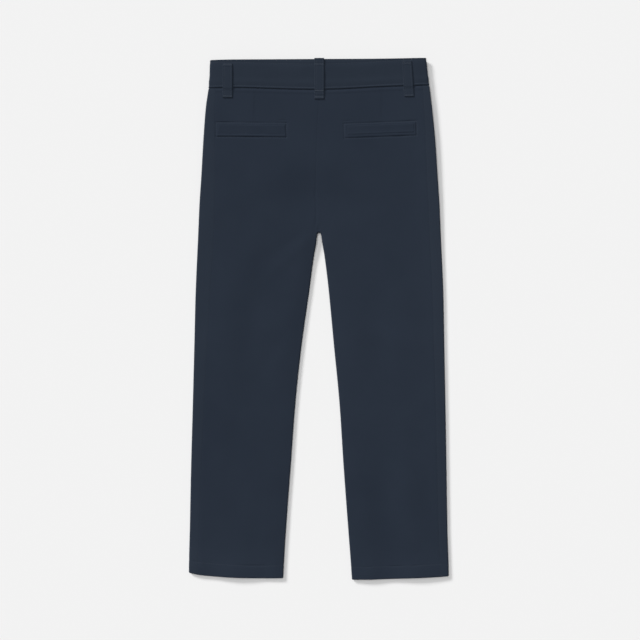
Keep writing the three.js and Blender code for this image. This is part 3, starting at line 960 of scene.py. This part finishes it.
def front_relief(side, x, y, face):
    """Seams sink as on the back. Underneath, the cloth only sinks inwards from the table."""
    above_hem = y - hem_edge(side, x, y)
    height = groove(waist_seam(x, face) - y, FRONT_SEAM["depth"], FRONT_SEAM["width"])
    if face > 0:
        height += side_groove(side, x, y)
        height += creases(BACK_CREASES, x, y) * FRONT_CREASING + swell(side, x, y)
        return height + hem_relief(x, above_hem)
    down = (POCKET_MOUTH["high"] - y) / (POCKET_MOUTH["high"] - POCKET_MOUTH["low"])
    mouth = side * x - mouth_x(down)
    there = ease(down, -0.05, 0) * (1 - ease(down, 1, 1.03))
    facing = ease(mouth, -0.001, 0.001) * (1 - ease(mouth, 0.002, POCKET_MOUTH["facing"]))
    height += groove(mouth, POCKET_MOUTH["fold"], POCKET_MOUTH["width"]) * there
    height -= POCKET_MOUTH["fold"] * facing * there
    from_line = above_hem - HEM_TURN["depth"]
    line = groove(from_line, FRONT_HEM_LINE["depth"], FRONT_HEM_LINE["width"])
    return height + line + hem_rounding(above_hem)


WRAP_SHARES = (0, 0.03, 0.07, 0.13, 0.2, 0.32, 0.46, 0.6, 0.74, 0.88)


def front_stations():
    """Lines down a front panel, from the side seam on the back and round under the leg."""
    fine = chart("at reach step", (0, 0.012, 0.006), (1, 0.012, 0.006), (0.23, 0.15, 0.0095))
    return (
        [(1, "wrap", share) for share in WRAP_SHARES]
        + [(1, "outer", rolled(angle)) for angle in ROLL[:-1]]
        + [(0, "outer", 0.0)]
        + [(-1, "outer", rolled(angle)) for angle in ROLL[-2:0:-1]]
        + [(-1, "share", share) for share in stops(0.0, 1.0, 0.03, fine)]
        + [(-1, "inner", rolled(angle)) for angle in ROLL[1:]]
    )


def mouth_path(side, inset):
    """Down the slanted mouth of a front pocket, on the outer side of its fold."""
    down = np.linspace(0.02, 0.98, 60)
    y = POCKET_MOUTH["high"] - (POCKET_MOUTH["high"] - POCKET_MOUTH["low"]) * down
    return on_panel(side, side * (mouth_x(down) - inset), y, -1, front_relief)


# The fronts' twill is a lighter copy of the same navy: painted sheen on the strip that each front
# shows along the garment's sides.
FRONT_TWILL_PAINTED_SHEEN = cloth_material(
    "navy twill of the fronts", (0.0126, 0.019, 0.0312), (0.0181, 0.0259, 0.0403)
)
for side, word in SIDE_NAMES.items():
    rows = panel_rows("front", 0.004)
    piece = cloth_panel(f"front_{word}_cloth", side, front_stations(), rows, front_relief)
    panels[f"front_{word}"] = piece
    dress(piece, FRONT_TWILL_PAINTED_SHEEN, f"front_{word}")
    width, length, area = FRONT_CUT[word]

mouths = [mouth_path(side, inset) for side in SIDE_NAMES for inset in (0.003, 0.009)]
front_hems = [hem_path(side, -1, front_relief) for side in SIDE_NAMES]
sew("front_stitching", mouths + front_hems, STITCH, 17)

# The waistband: a doubled band of the same twill round the whole waist, edge-stitched along
# its lower seam and below its top edge, fastened at the front. Its middle lies a little hollow.
BAND = {"proud": 0.0008, "wall": 0.0022, "soft": 0.0007, "step": 0.0024, "half": 0.152}
BAND_LINE, TOP_LINE = 0.0026, 0.0352
BAND_STITCHED = (-0.1505, 0.1495)
BAND_PROFILE = chart(
    "above height",
    (0.0, -0.0009), (0.0004, -0.0003), (0.001, 0.0002), (0.0018, -0.0001), (0.0026, -0.00045),
    (0.0036, -0.00042), (0.0058, -0.00015), (0.009, 0.00005), (0.0145, -0.0003), (0.024, -0.0001),
    (0.031, 0.00018), (0.0343, 0.0), (0.0352, -0.00018), (0.0362, 0.0), (0.038, 0.0001),
    (0.04, -0.0001),
)
BAND_CREASES = chart(
    CREASE,
    (-0.07, 0.344, 4, 0.09, 0.007, 0.00022),
    (0.055, 0.339, -3, 0.1, 0.008, -0.00022),
    (-0.022, 0.35, 70, 0.03, 0.008, 0.0002),
    (0.09, 0.348, 100, 0.032, 0.009, 0.00018),
    (-0.105, 0.34, 84, 0.03, 0.007, -0.00018),
    (0.138, 0.345, 85, 0.032, 0.007, 0.0002),
    (-0.066, 0.3635, 0, 0.085, 0.011, -0.0006),
    (0.063, 0.365, 1, 0.085, 0.011, -0.0007),
)


def waist_top(x, face):
    """How high the band's top edge lies."""
    return read(WAIST, "x", "top", x) - front_dip(x, face)


def band_stations():
    """Once round the waist: the back from left to right, then the front from right to left."""
    roll = EDGE_ROLL + BAND["proud"]
    edge = [rolled(angle, roll) for angle in ROLL]
    shares = stops(0.0, 1.0, BAND["step"] / BAND["half"])[:-1]

    def half(side, face):
        turning = [(side, face if inset else 0, inset, 0.0) for inset in edge[:0:-1]]
        return turning + [(side, face, roll, share) for share in shares]

    back = [*half(-1, 1), (1, 1, roll, 1.0), *half(1, 1)[::-1]]
    front = [*half(1, -1)[1:], (1, -1, roll, 1.0), *half(-1, -1)[:0:-1]]
    return back + front


def band_relief(x, y, face):
    """The two stitched lines and the slight hollow between them, with its own soft creases."""
    up = y - waist_seam(x, face)
    uneven = 0.82 + 0.18 * np.sin(x * 71 + 2.2) + 0.1 * np.sin(x * 193)
    height = read(BAND_PROFILE, "above", "height", up) * uneven + puckers(x, up - BAND_LINE)
    return height + creases(BAND_CREASES, x, y) * (1 if face > 0 else 0.4)


def band_point(side, face, inset, share, above, below, depth):
    """A point of the band, by its height above the seam or its depth below the top edge."""

    def place(y):
        outside = outer_x(side, y) - side * inset
        return outside + (CROTCH["x"] - outside) * share

    def level(x):
        top, seam = waist_top(x, face), waist_seam(x, face) + SEAM_PART / 2
        return top - below if above is None else seam + above * (top - seam)

    x, y = settled(place, np.array([WAIST_ROW]), level)
    points, out = lie(side, x, y, face, BAND["proud"])
    height = band_relief(x, y, face)
    return (points + out * (height[:, None] - depth))[0], float(y[0])


BAND_SPANS = ((0, 0.12, 10), (0.145, 0.835, 18), (0.86, 0.95, 7))
BAND_SHARES = [share for span in BAND_SPANS for share in np.linspace(*span)]
BAND_LINES = (
    [{"above": share, "depth": 0.0} for share in BAND_SHARES]
    + [{"below": BAND["soft"] * (1 - math.sin(a)), "depth": BAND["soft"] * (1 - math.cos(a))}
       for a in np.radians([0, 30, 60, 90])]
    + [{"below": 0.0, "depth": BAND["wall"] - BAND["soft"]}]
    + [{"below": BAND["soft"], "depth": BAND["wall"]}]
    + [{"above": share, "depth": BAND["wall"]} for share in (0.7, 0.4, 0.0)]
)


def ring_mesh(name, sections, grain):
    """A closed ring: each section is a loop of points, and the last meets the first."""
    count, size = sections.shape[:2]
    index = np.arange(count * size).reshape(count, size)
    after = np.roll(index, -1, axis=0)
    faces = quads(index, after, np.roll(after, -1, 1), np.roll(index, -1, 1))
    return finished_mesh(name, sections.reshape(-1, 3), faces, grain.reshape(-1, 2))


BAND_MEASURED = 8
sections, band_grain, run, last = [], [], 0.0, None
for side, face, inset, share in band_stations():
    section = [
        band_point(side, face, inset, share, line.get("above"), line.get("below"), line["depth"])
        for line in BAND_LINES
    ]
    first = section[BAND_MEASURED][0]
    run += 0 if last is None else float(np.linalg.norm(first - last))
    last = first
    sections.append([point for point, _ in section])
    band_grain.append([(y, run) for _, y in section])
band = ring_mesh("waistband_cloth", np.array(sections), np.array(band_grain))
BAND_TWILL = cloth_material(
    "navy twill of the band", (0.0121, 0.0184, 0.0301), (0.0175, 0.0252, 0.039)
)
dress(band, BAND_TWILL, "waistband")


def band_path(face, above):
    """Along one face of the band, at a height above its lower seam."""
    x = np.linspace(*BAND_STITCHED, 160)
    y = waist_seam(x, face) + above
    side_points = [lie(side, x, y, face, BAND["proud"]) for side in SIDE_NAMES]
    left = (x < CROTCH["x"])[:, None]
    points = np.where(left, side_points[0][0], side_points[1][0])
    out = np.where(left, side_points[0][1], side_points[1][1])
    return points + out * band_relief(x, y, face)[:, None], out


band_paths = [band_path(face, above) for face in (1, -1) for above in (BAND_LINE, TOP_LINE)]
sew("waistband_stitching", band_paths, STITCH, 23)

# The five belt loops: narrow folded strips of the twill, tacked down by a dense bar of
# stitches near each end. Between the bars they stand a little off the waistband.
LOOP = {"width": 0.0135, "thick": 0.0012, "gap": 0.0003, "step": 0.005, "bulge": 0.0004,
        "fold": 0.00035, "press": 0.0003, "edge": 0.035, "end": 0.0009,
        "bar": 0.0011, "rows": 96, "columns": 22}
LOOP_SEAM = {"out": 0.0043, "depth": 0.00014, "width": 0.0008}
END_ROUND = 0.9
THREAD_SINK = {"loop": 0.00006, "fly": 0.0001, "button": 0.00008}
LOOPS = chart(
    "name face x lean top bottom bars folds",
    ("belt_loop_back_left", 1, -0.1275, 0, 0.3572, 0.3095,
     [0.0018, 0.0455], [(0.0, 0.0041), (0.0445, 0.05)]),
    ("belt_loop_back_centre", 1, 0.0007, 0, 0.3649, 0.3075,
     [0.0085, 0.0456, 0.0543], [(0.0, 0.0105), (0.0452, 0.0512), (0.0535, 0.06)]),
    ("belt_loop_back_right", 1, 0.1246, 0.0035, 0.361, 0.311,
     [0.0032, 0.048], [(0.0, 0.0052), (0.047, 0.052)]),
    ("belt_loop_front_left", -1, -0.084, 0, 0.35, 0.303,
     [0.002, 0.0447], [(0.0, 0.0042), (0.0435, 0.05)]),
    ("belt_loop_front_right", -1, 0.084, 0, 0.35, 0.303,
     [0.002, 0.0447], [(0.0, 0.0042), (0.0435, 0.05)]),
)
STRIP_COLUMN = 0.0005


def trim_height(x, y, face):
    """The height of the cloth that trims lie on: the panels, then the prouder band."""
    side = np.where(x < CROTCH["x"], -1, 1)
    left = lie(-1, x, y, face)[0][..., 2]
    right = lie(1, x, y, face)[0][..., 2]
    seam = waist_seam(x, face)
    step = BAND["proud"] * ease(y, seam - LOOP["step"], seam)
    return np.where(side < 0, left, right) + face * step


def edge_shares(edge, count):
    """Shares from 0 to 1, closer together where the cloth rounds over at each end."""
    close = (1 - np.cos(np.linspace(0, math.pi / 2, 6))) * edge
    return np.concatenate([close, np.linspace(edge, 1 - edge, count)[1:-1], 1 - close[::-1]])


def rounded(near, far, reach, drop):
    """How full a strip is, from 1 in its middle down to its edge on either hand."""
    inward = np.clip(np.minimum(near, far) / reach, 0, 1)
    return np.sqrt(1 - (1 - inward) ** 2 * drop)


def strip(name, x, y, face, base, thick, along):
    """A folded strip on the garment, from grids of places and of thickness."""
    under = trim_height(x, y, face) + face * (LOOP["gap"] * 0.5 + base)
    outer = np.stack([x, y, under + face * thick], -1)
    inner = np.stack([x, y, under], -1)
    across = np.cumsum(np.full(x.shape, STRIP_COLUMN), axis=1)
    return cloth_mesh(name, outer, inner, np.stack([across, along], -1))


def loop_thickness(loop, down):
    """Thicker where the ends are folded under, and pressed down by the bars of stitches."""
    folded = [ease(down, a - 0.0005, a + 0.0003) * (1 - ease(down, b - 0.0005, b + 0.0005))
              for a, b in loop["folds"]]
    pressed = [np.exp(-(((down - bar) / LOOP["bar"]) ** 2)) for bar in loop["bars"]]
    extra = LOOP["fold"] * sum(folded) - LOOP["press"] * np.clip(sum(pressed), 0, 1)
    return LOOP["thick"] + extra


def belt_loop(loop):
    """A loop's cloth: folded edges, a line of stitching beside each, and rounded ends."""
    length = loop["top"] - loop["bottom"]
    from_top = np.linspace(0, 1, LOOP["rows"])[:, None] * length
    across = edge_shares(LOOP["edge"], LOOP["columns"])[None, :]
    x, y, bulge = loop_place(loop, across, from_top)
    from_top = from_top + 0 * across
    full = rounded(across, 1 - across, LOOP["edge"], FULL_ROUND)
    full = full * rounded(from_top, length - from_top, LOOP["end"], END_ROUND)
    from_seam = np.abs(across - 0.5) * LOOP["width"] - LOOP_SEAM["out"]
    seams = groove(from_seam, LOOP_SEAM["depth"], LOOP_SEAM["width"])
    thick = (loop_thickness(loop, from_top) + seams) * full
    return strip(loop["name"] + "_cloth", x, y, loop["face"], bulge, thick, y)


def loop_place(loop, across, down):
    """A place on a loop's outer face, by its share across and its distance from the top."""
    length = loop["top"] - loop["bottom"]
    x = loop["x"] + loop["lean"] * (down / length - 0.5) + (across - 0.5) * LOOP["width"]
    y = loop["top"] - down + 0 * across
    first, last = loop["bars"][0], loop["bars"][-1]
    between = np.clip((down - first) / (last - first), 0, 1)
    return x, y, LOOP["bulge"] * np.sin(math.pi * between) ** 0.7 + 0 * across


def loop_path(loop, across, down):
    """A line of places on a loop, lying on its cloth."""
    x, y, bulge = loop_place(loop, across, down)
    height = bulge + LOOP["gap"] / 2 + loop_thickness(loop, down) - THREAD_SINK["loop"]
    z = trim_height(x, y, loop["face"]) + loop["face"] * height
    out = np.tile([0.0, 0.0, float(loop["face"])], (len(x), 1))
    return np.stack([x, y, z], -1), out


bars, lines = [], []
for loop in LOOPS:
    length = loop["top"] - loop["bottom"]
    across = np.linspace(0.06, 0.94, 30)
    bars += [loop_path(loop, across, np.full(across.shape, bar)) for bar in loop["bars"]]
    down = np.linspace(0.002, length - 0.002, 60)
    lines += [loop_path(loop, np.full(down.shape, share), down) for share in (0.18, 0.82)]
    piece = belt_loop(loop)
    dress(piece, BAND_TWILL, loop["name"])
sew("belt_loop_bar_tacks", bars, BAR, 31)
sew("belt_loop_stitching", lines, STITCH, 37)

# The two back pocket welts: each a folded strip of twill filling the pocket's slit, held by
# the stitched box round it. Its upper fold is free and its lower edge is stitched down.
WELT = {"thick": 0.00075, "edge": 0.07, "end": 0.008, "hollow": 0.0002, "rows": 22,
        "columns": 80}
WELT_HOLLOW = {"up": 0.45, "width": 0.3}
WELT_BEAD = {"up": 0.13, "width": 0.09}


def pocket_welt(welt):
    """A welt's cloth: two rounded edges, a slight hollow and ripple, thinner low down."""
    up = edge_shares(WELT["edge"], WELT["rows"])[:, None]
    wide = edge_shares(WELT["end"], WELT["columns"])[None]
    u = (wide - 0.5) * welt["width"] + 0 * up
    v = (up - 0.5) * welt["height"] + 0 * wide
    x, y = turned(welt, u, v)
    full = rounded(up, 1 - up, WELT["edge"], FULL_ROUND)
    full = full * rounded(wide, 1 - wide, WELT["end"], END_ROUND)
    ripple = 0.00008 * np.sin(u * 210 + 1) + 0.00006 * np.sin(u * 95 + v * 300)
    hollow = groove(up - WELT_HOLLOW["up"], WELT["hollow"], WELT_HOLLOW["width"])
    low = -welt["thin"] * (1 - ease(up, 0, 0.5))
    bead = -groove(up - WELT_BEAD["up"], welt["bead"], WELT_BEAD["width"])
    thick = (WELT["thick"] + ripple + hollow + low + bead) * full
    return strip(welt["name"] + "_cloth", x, y, 1, 0 * x, thick, x)


for welt in WELTS:
    piece = pocket_welt(welt)
    dress(piece, NAVY_TWILL, welt["name"])

# The fly: the edge of the front opening, a flat strip of twill below the waistband that
# rounds off at its foot, where the stitching turns in to the centre seam.
FLY = {"inner": 0.0015, "width": 0.034, "foot": 0.004, "bottom": 0.172, "thick": 0.001,
       "line": 0.005, "line_foot": 0.003, "line_depth": 0.0002, "line_width": 0.0009,
       "edge": 0.05, "round": 0.7, "gap": 0.0003, "line_gap": 0.001}
FLY_STRAIGHT = FLY["bottom"] + FLY["width"]
FLY_TURNS = np.linspace(0, math.pi / 2, 24)


def fly_levels(gap, reach, count):
    """Heights from a gap below the waistband down to the foot, closer where it rounds off."""
    top = float(waist_seam(np.array([CROTCH["x"]]), -1)[0]) - LOOP["step"] - gap
    straight = np.linspace(top, FLY_STRAIGHT, count)[:-1]
    return np.concatenate([straight, FLY_STRAIGHT - reach * np.sin(FLY_TURNS)])


def fly_strip():
    """The fly's cloth, with a groove where it is stitched."""
    levels = fly_levels(FLY["gap"], FLY["width"], 50)
    round_part = np.clip((FLY_STRAIGHT - levels) / FLY["width"], 0, 1)
    widths = np.maximum(FLY["foot"], FLY["width"] * np.sqrt(1 - round_part**2))[:, None]
    share = np.linspace(0, 1, 24)[None, :]
    x = CROTCH["x"] + FLY["inner"] - widths * share
    y = levels[:, None] + 0 * share
    from_line = (1 - share) * widths - FLY["line"]
    stitched = groove(from_line, FLY["line_depth"], FLY["line_width"])
    thick = (FLY["thick"] + stitched) * rounded(share, 1 - share, FLY["edge"], FLY["round"])
    return strip("fly_cloth", x, y, -1, 0 * x, thick + 0 * y, y)


fly = fly_strip()
dress(fly, NAVY_TWILL, "fly")


def fly_path():
    """Down the fly, a little inside its edge, and round to the centre seam."""
    inset = FLY["width"] - FLY["line"]
    y = fly_levels(FLY["line_gap"], inset, 40)
    straight = np.full(len(y) - len(FLY_TURNS), inset)
    reach = np.concatenate([straight, inset * np.cos(FLY_TURNS)])
    x = CROTCH["x"] + FLY["inner"] - np.maximum(reach, FLY["line_foot"])
    z = trim_height(x, y, -1) - (LOOP["gap"] / 2 + FLY["thick"] - THREAD_SINK["fly"])
    return np.stack([x, y, z], -1), np.tile([0.0, 0.0, -1.0], (len(x), 1))


sew("fly_stitching", [fly_path()], STITCH, 41)

# The waist button: a dark moulded disc with a raised rim and four sewing holes, sewn on
# face down against the front of the waistband.
BUTTON = {"sides": 64, "hole": 0.0008, "apart": 0.0013, "thick": 0.0019}
BUTTON_PROFILE = [(0.0052, 0.0004), (0.0058, 0.0002), (0.0064, 0.0), (0.0071, 0.0001),
                  (0.0075, 0.0007), (0.0074, 0.0014), (0.0069, 0.0019)]
BUTTON_THREAD = {"Spacing": 1.0, "Length": 0.0038, "Width": 0.00055, "Height": 0.0004, "Turn": 0.0}
button_low, button_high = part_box("button")
button_middle = (button_low + button_high) / 2
BUTTON_HOLES = [(u * BUTTON["apart"], v * BUTTON["apart"]) for u in (-1, 1) for v in (-1, 1)]


def button_blank():
    """The turned disc, closed by a fan of faces on its face and on its back."""
    turns = np.linspace(0, math.tau, BUTTON["sides"], endpoint=False)
    points = [(radius * math.cos(t), radius * math.sin(t), height)
              for radius, height in BUTTON_PROFILE for t in turns]
    count, rings = len(turns), len(BUTTON_PROFILE)
    after = [(turn + 1) % count for turn in range(count)]
    faces = [(ring * count + turn, ring * count + after[turn],
              (ring + 1) * count + after[turn], (ring + 1) * count + turn)
             for ring in range(rings - 1) for turn in range(count)]
    points += [(0, 0, BUTTON_PROFILE[0][1]), (0, 0, BUTTON_PROFILE[-1][1])]
    face_middle, back_middle, last = len(points) - 2, len(points) - 1, (rings - 1) * count
    faces += [(face_middle, after[turn], turn) for turn in range(count)]
    faces += [(back_middle, last + turn, last + after[turn]) for turn in range(count)]
    mesh = bpy.data.meshes.new("button_blank")
    mesh.from_pydata(points, [], faces)
    return mesh


def button_disc():
    """The blank, with its four sewing holes drilled through."""
    blank = put("button_blank", button_blank())
    drills = bmesh.new()
    for across, up in BUTTON_HOLES:
        place = Matrix.Translation((across, up, BUTTON["thick"] / 2))
        bmesh.ops.create_cone(drills, cap_ends=True, segments=20, radius1=BUTTON["hole"],
                              radius2=BUTTON["hole"], depth=2 * BUTTON["thick"], matrix=place)
    bits = put("button_drills", bpy.data.meshes.new("button_drills"))
    drills.to_mesh(bits.data)
    drills.free()
    cut = blank.modifiers.new("holes", "BOOLEAN")
    cut.operation, cut.solver, cut.object = "DIFFERENCE", "EXACT", bits
    mesh = made_mesh(blank)
    for item in (blank, bits):
        bpy.data.objects.remove(item)
    mesh.name = "button_disc"
    mesh.transform(Matrix.Translation((button_middle.x, button_middle.y, button_low.z)))
    smooth(mesh, 40)
    return put("button_disc", mesh)


def button_strand(row, offset):
    """Half a strand between two holes, from its middle, just proud of the dished face."""
    along = np.array([0.0, 0.001])
    x = button_middle.x + along
    y = button_middle.y + row * BUTTON["apart"] + offset + 0 * along
    z = button_low.z + BUTTON_PROFILE[0][1] - THREAD_SINK["button"] + 0 * along
    return np.stack([x, y, z], -1), np.tile([0.0, 0.0, -1.0], (2, 1))


def button_material():
    """Moulded resin with a satin face, nearly black."""
    dark, light = (0.006, 0.008, 0.013), (0.018, 0.022, 0.032)
    return clouded_material("dark navy button", 380, dark, light, 0.35, 0.5)


button = button_disc()
dress(button, button_material(), "button", slot="button")
strands = [button_strand(row, offset) for row in (-1, 1) for offset in (-0.00032, 0.0, 0.0003)]
sew("button_thread", strands, BUTTON_THREAD, 43)

# The table, the light and the view: a plain pale surface, two soft suns from the upper left,
# one low and one nearly overhead, and a dim white room, seen from straight above.
FLOOR = {"half": 15.0, "drop": 0.0002}
floor_mesh = bpy.data.meshes.new("table")
floor_corners = [(-1, -1), (1, -1), (1, 1), (-1, 1)]
floor_points = [(u * FLOOR["half"], v * FLOOR["half"], -FLOOR["drop"]) for u, v in floor_corners]
floor_mesh.from_pydata(floor_points, [], [(0, 1, 2, 3)])
table = put("table", floor_mesh)
pale, pale_shader, _ = plain_material("pale table", 0.9, 0.1)
pale_shader.inputs["Base Color"].default_value = (0.8, 0.8, 0.8, 1)
floor_mesh.materials.append(pale)

LIGHTS = chart(
    "name strength spread height turn",
    ("key", 2.84, 15, 27, -135),
    ("overhead", 1.86, 45, 80, -135),
)
for light in LIGHTS:
    lamp = bpy.data.lights.new(light["name"], "SUN")
    lamp.energy = light["strength"]
    lamp.angle = math.radians(light["spread"])
    sun = put(light["name"], lamp)
    sun.rotation_euler = (math.radians(90 - light["height"]), 0, math.radians(light["turn"]))

room = bpy.data.worlds.new("room")
room.use_nodes = True
room_tree = room.node_tree
fill = room_tree.nodes["Background"]
fill.inputs["Color"].default_value = (1, 1, 1, 1)
fill.inputs["Strength"].default_value = 0.12
wall = room_tree.nodes.new("ShaderNodeBackground")
wall.inputs["Color"].default_value = (0.88, 0.88, 0.88, 1)
seen_directly = room_tree.nodes.new("ShaderNodeLightPath")
either = room_tree.nodes.new("ShaderNodeMixShader")
room_tree.links.new(seen_directly.outputs["Is Camera Ray"], either.inputs["Fac"])
room_tree.links.new(fill.outputs["Background"], either.inputs[1])
room_tree.links.new(wall.outputs["Background"], either.inputs[2])
room_tree.links.new(either.outputs["Shader"], room_tree.nodes["World Output"].inputs["Surface"])
bpy.context.scene.world = room
bpy.context.scene.view_settings.view_transform = "Standard"

PIXEL = 0.0014
PHOTO_WIDTH = 640
CAMERA_HEIGHT = 2.4
GARMENT_TOP = 0.006
SENSOR_WIDTH = 36
camera_data = bpy.data.cameras.new("camera")
camera_data.sensor_width = SENSOR_WIDTH
camera_data.lens = SENSOR_WIDTH * CAMERA_HEIGHT / (PIXEL * PHOTO_WIDTH)
camera = put("camera", camera_data)
camera.location = (1.25 * PIXEL, -PIXEL, CAMERA_HEIGHT + GARMENT_TOP)
bpy.context.scene.camera = camera
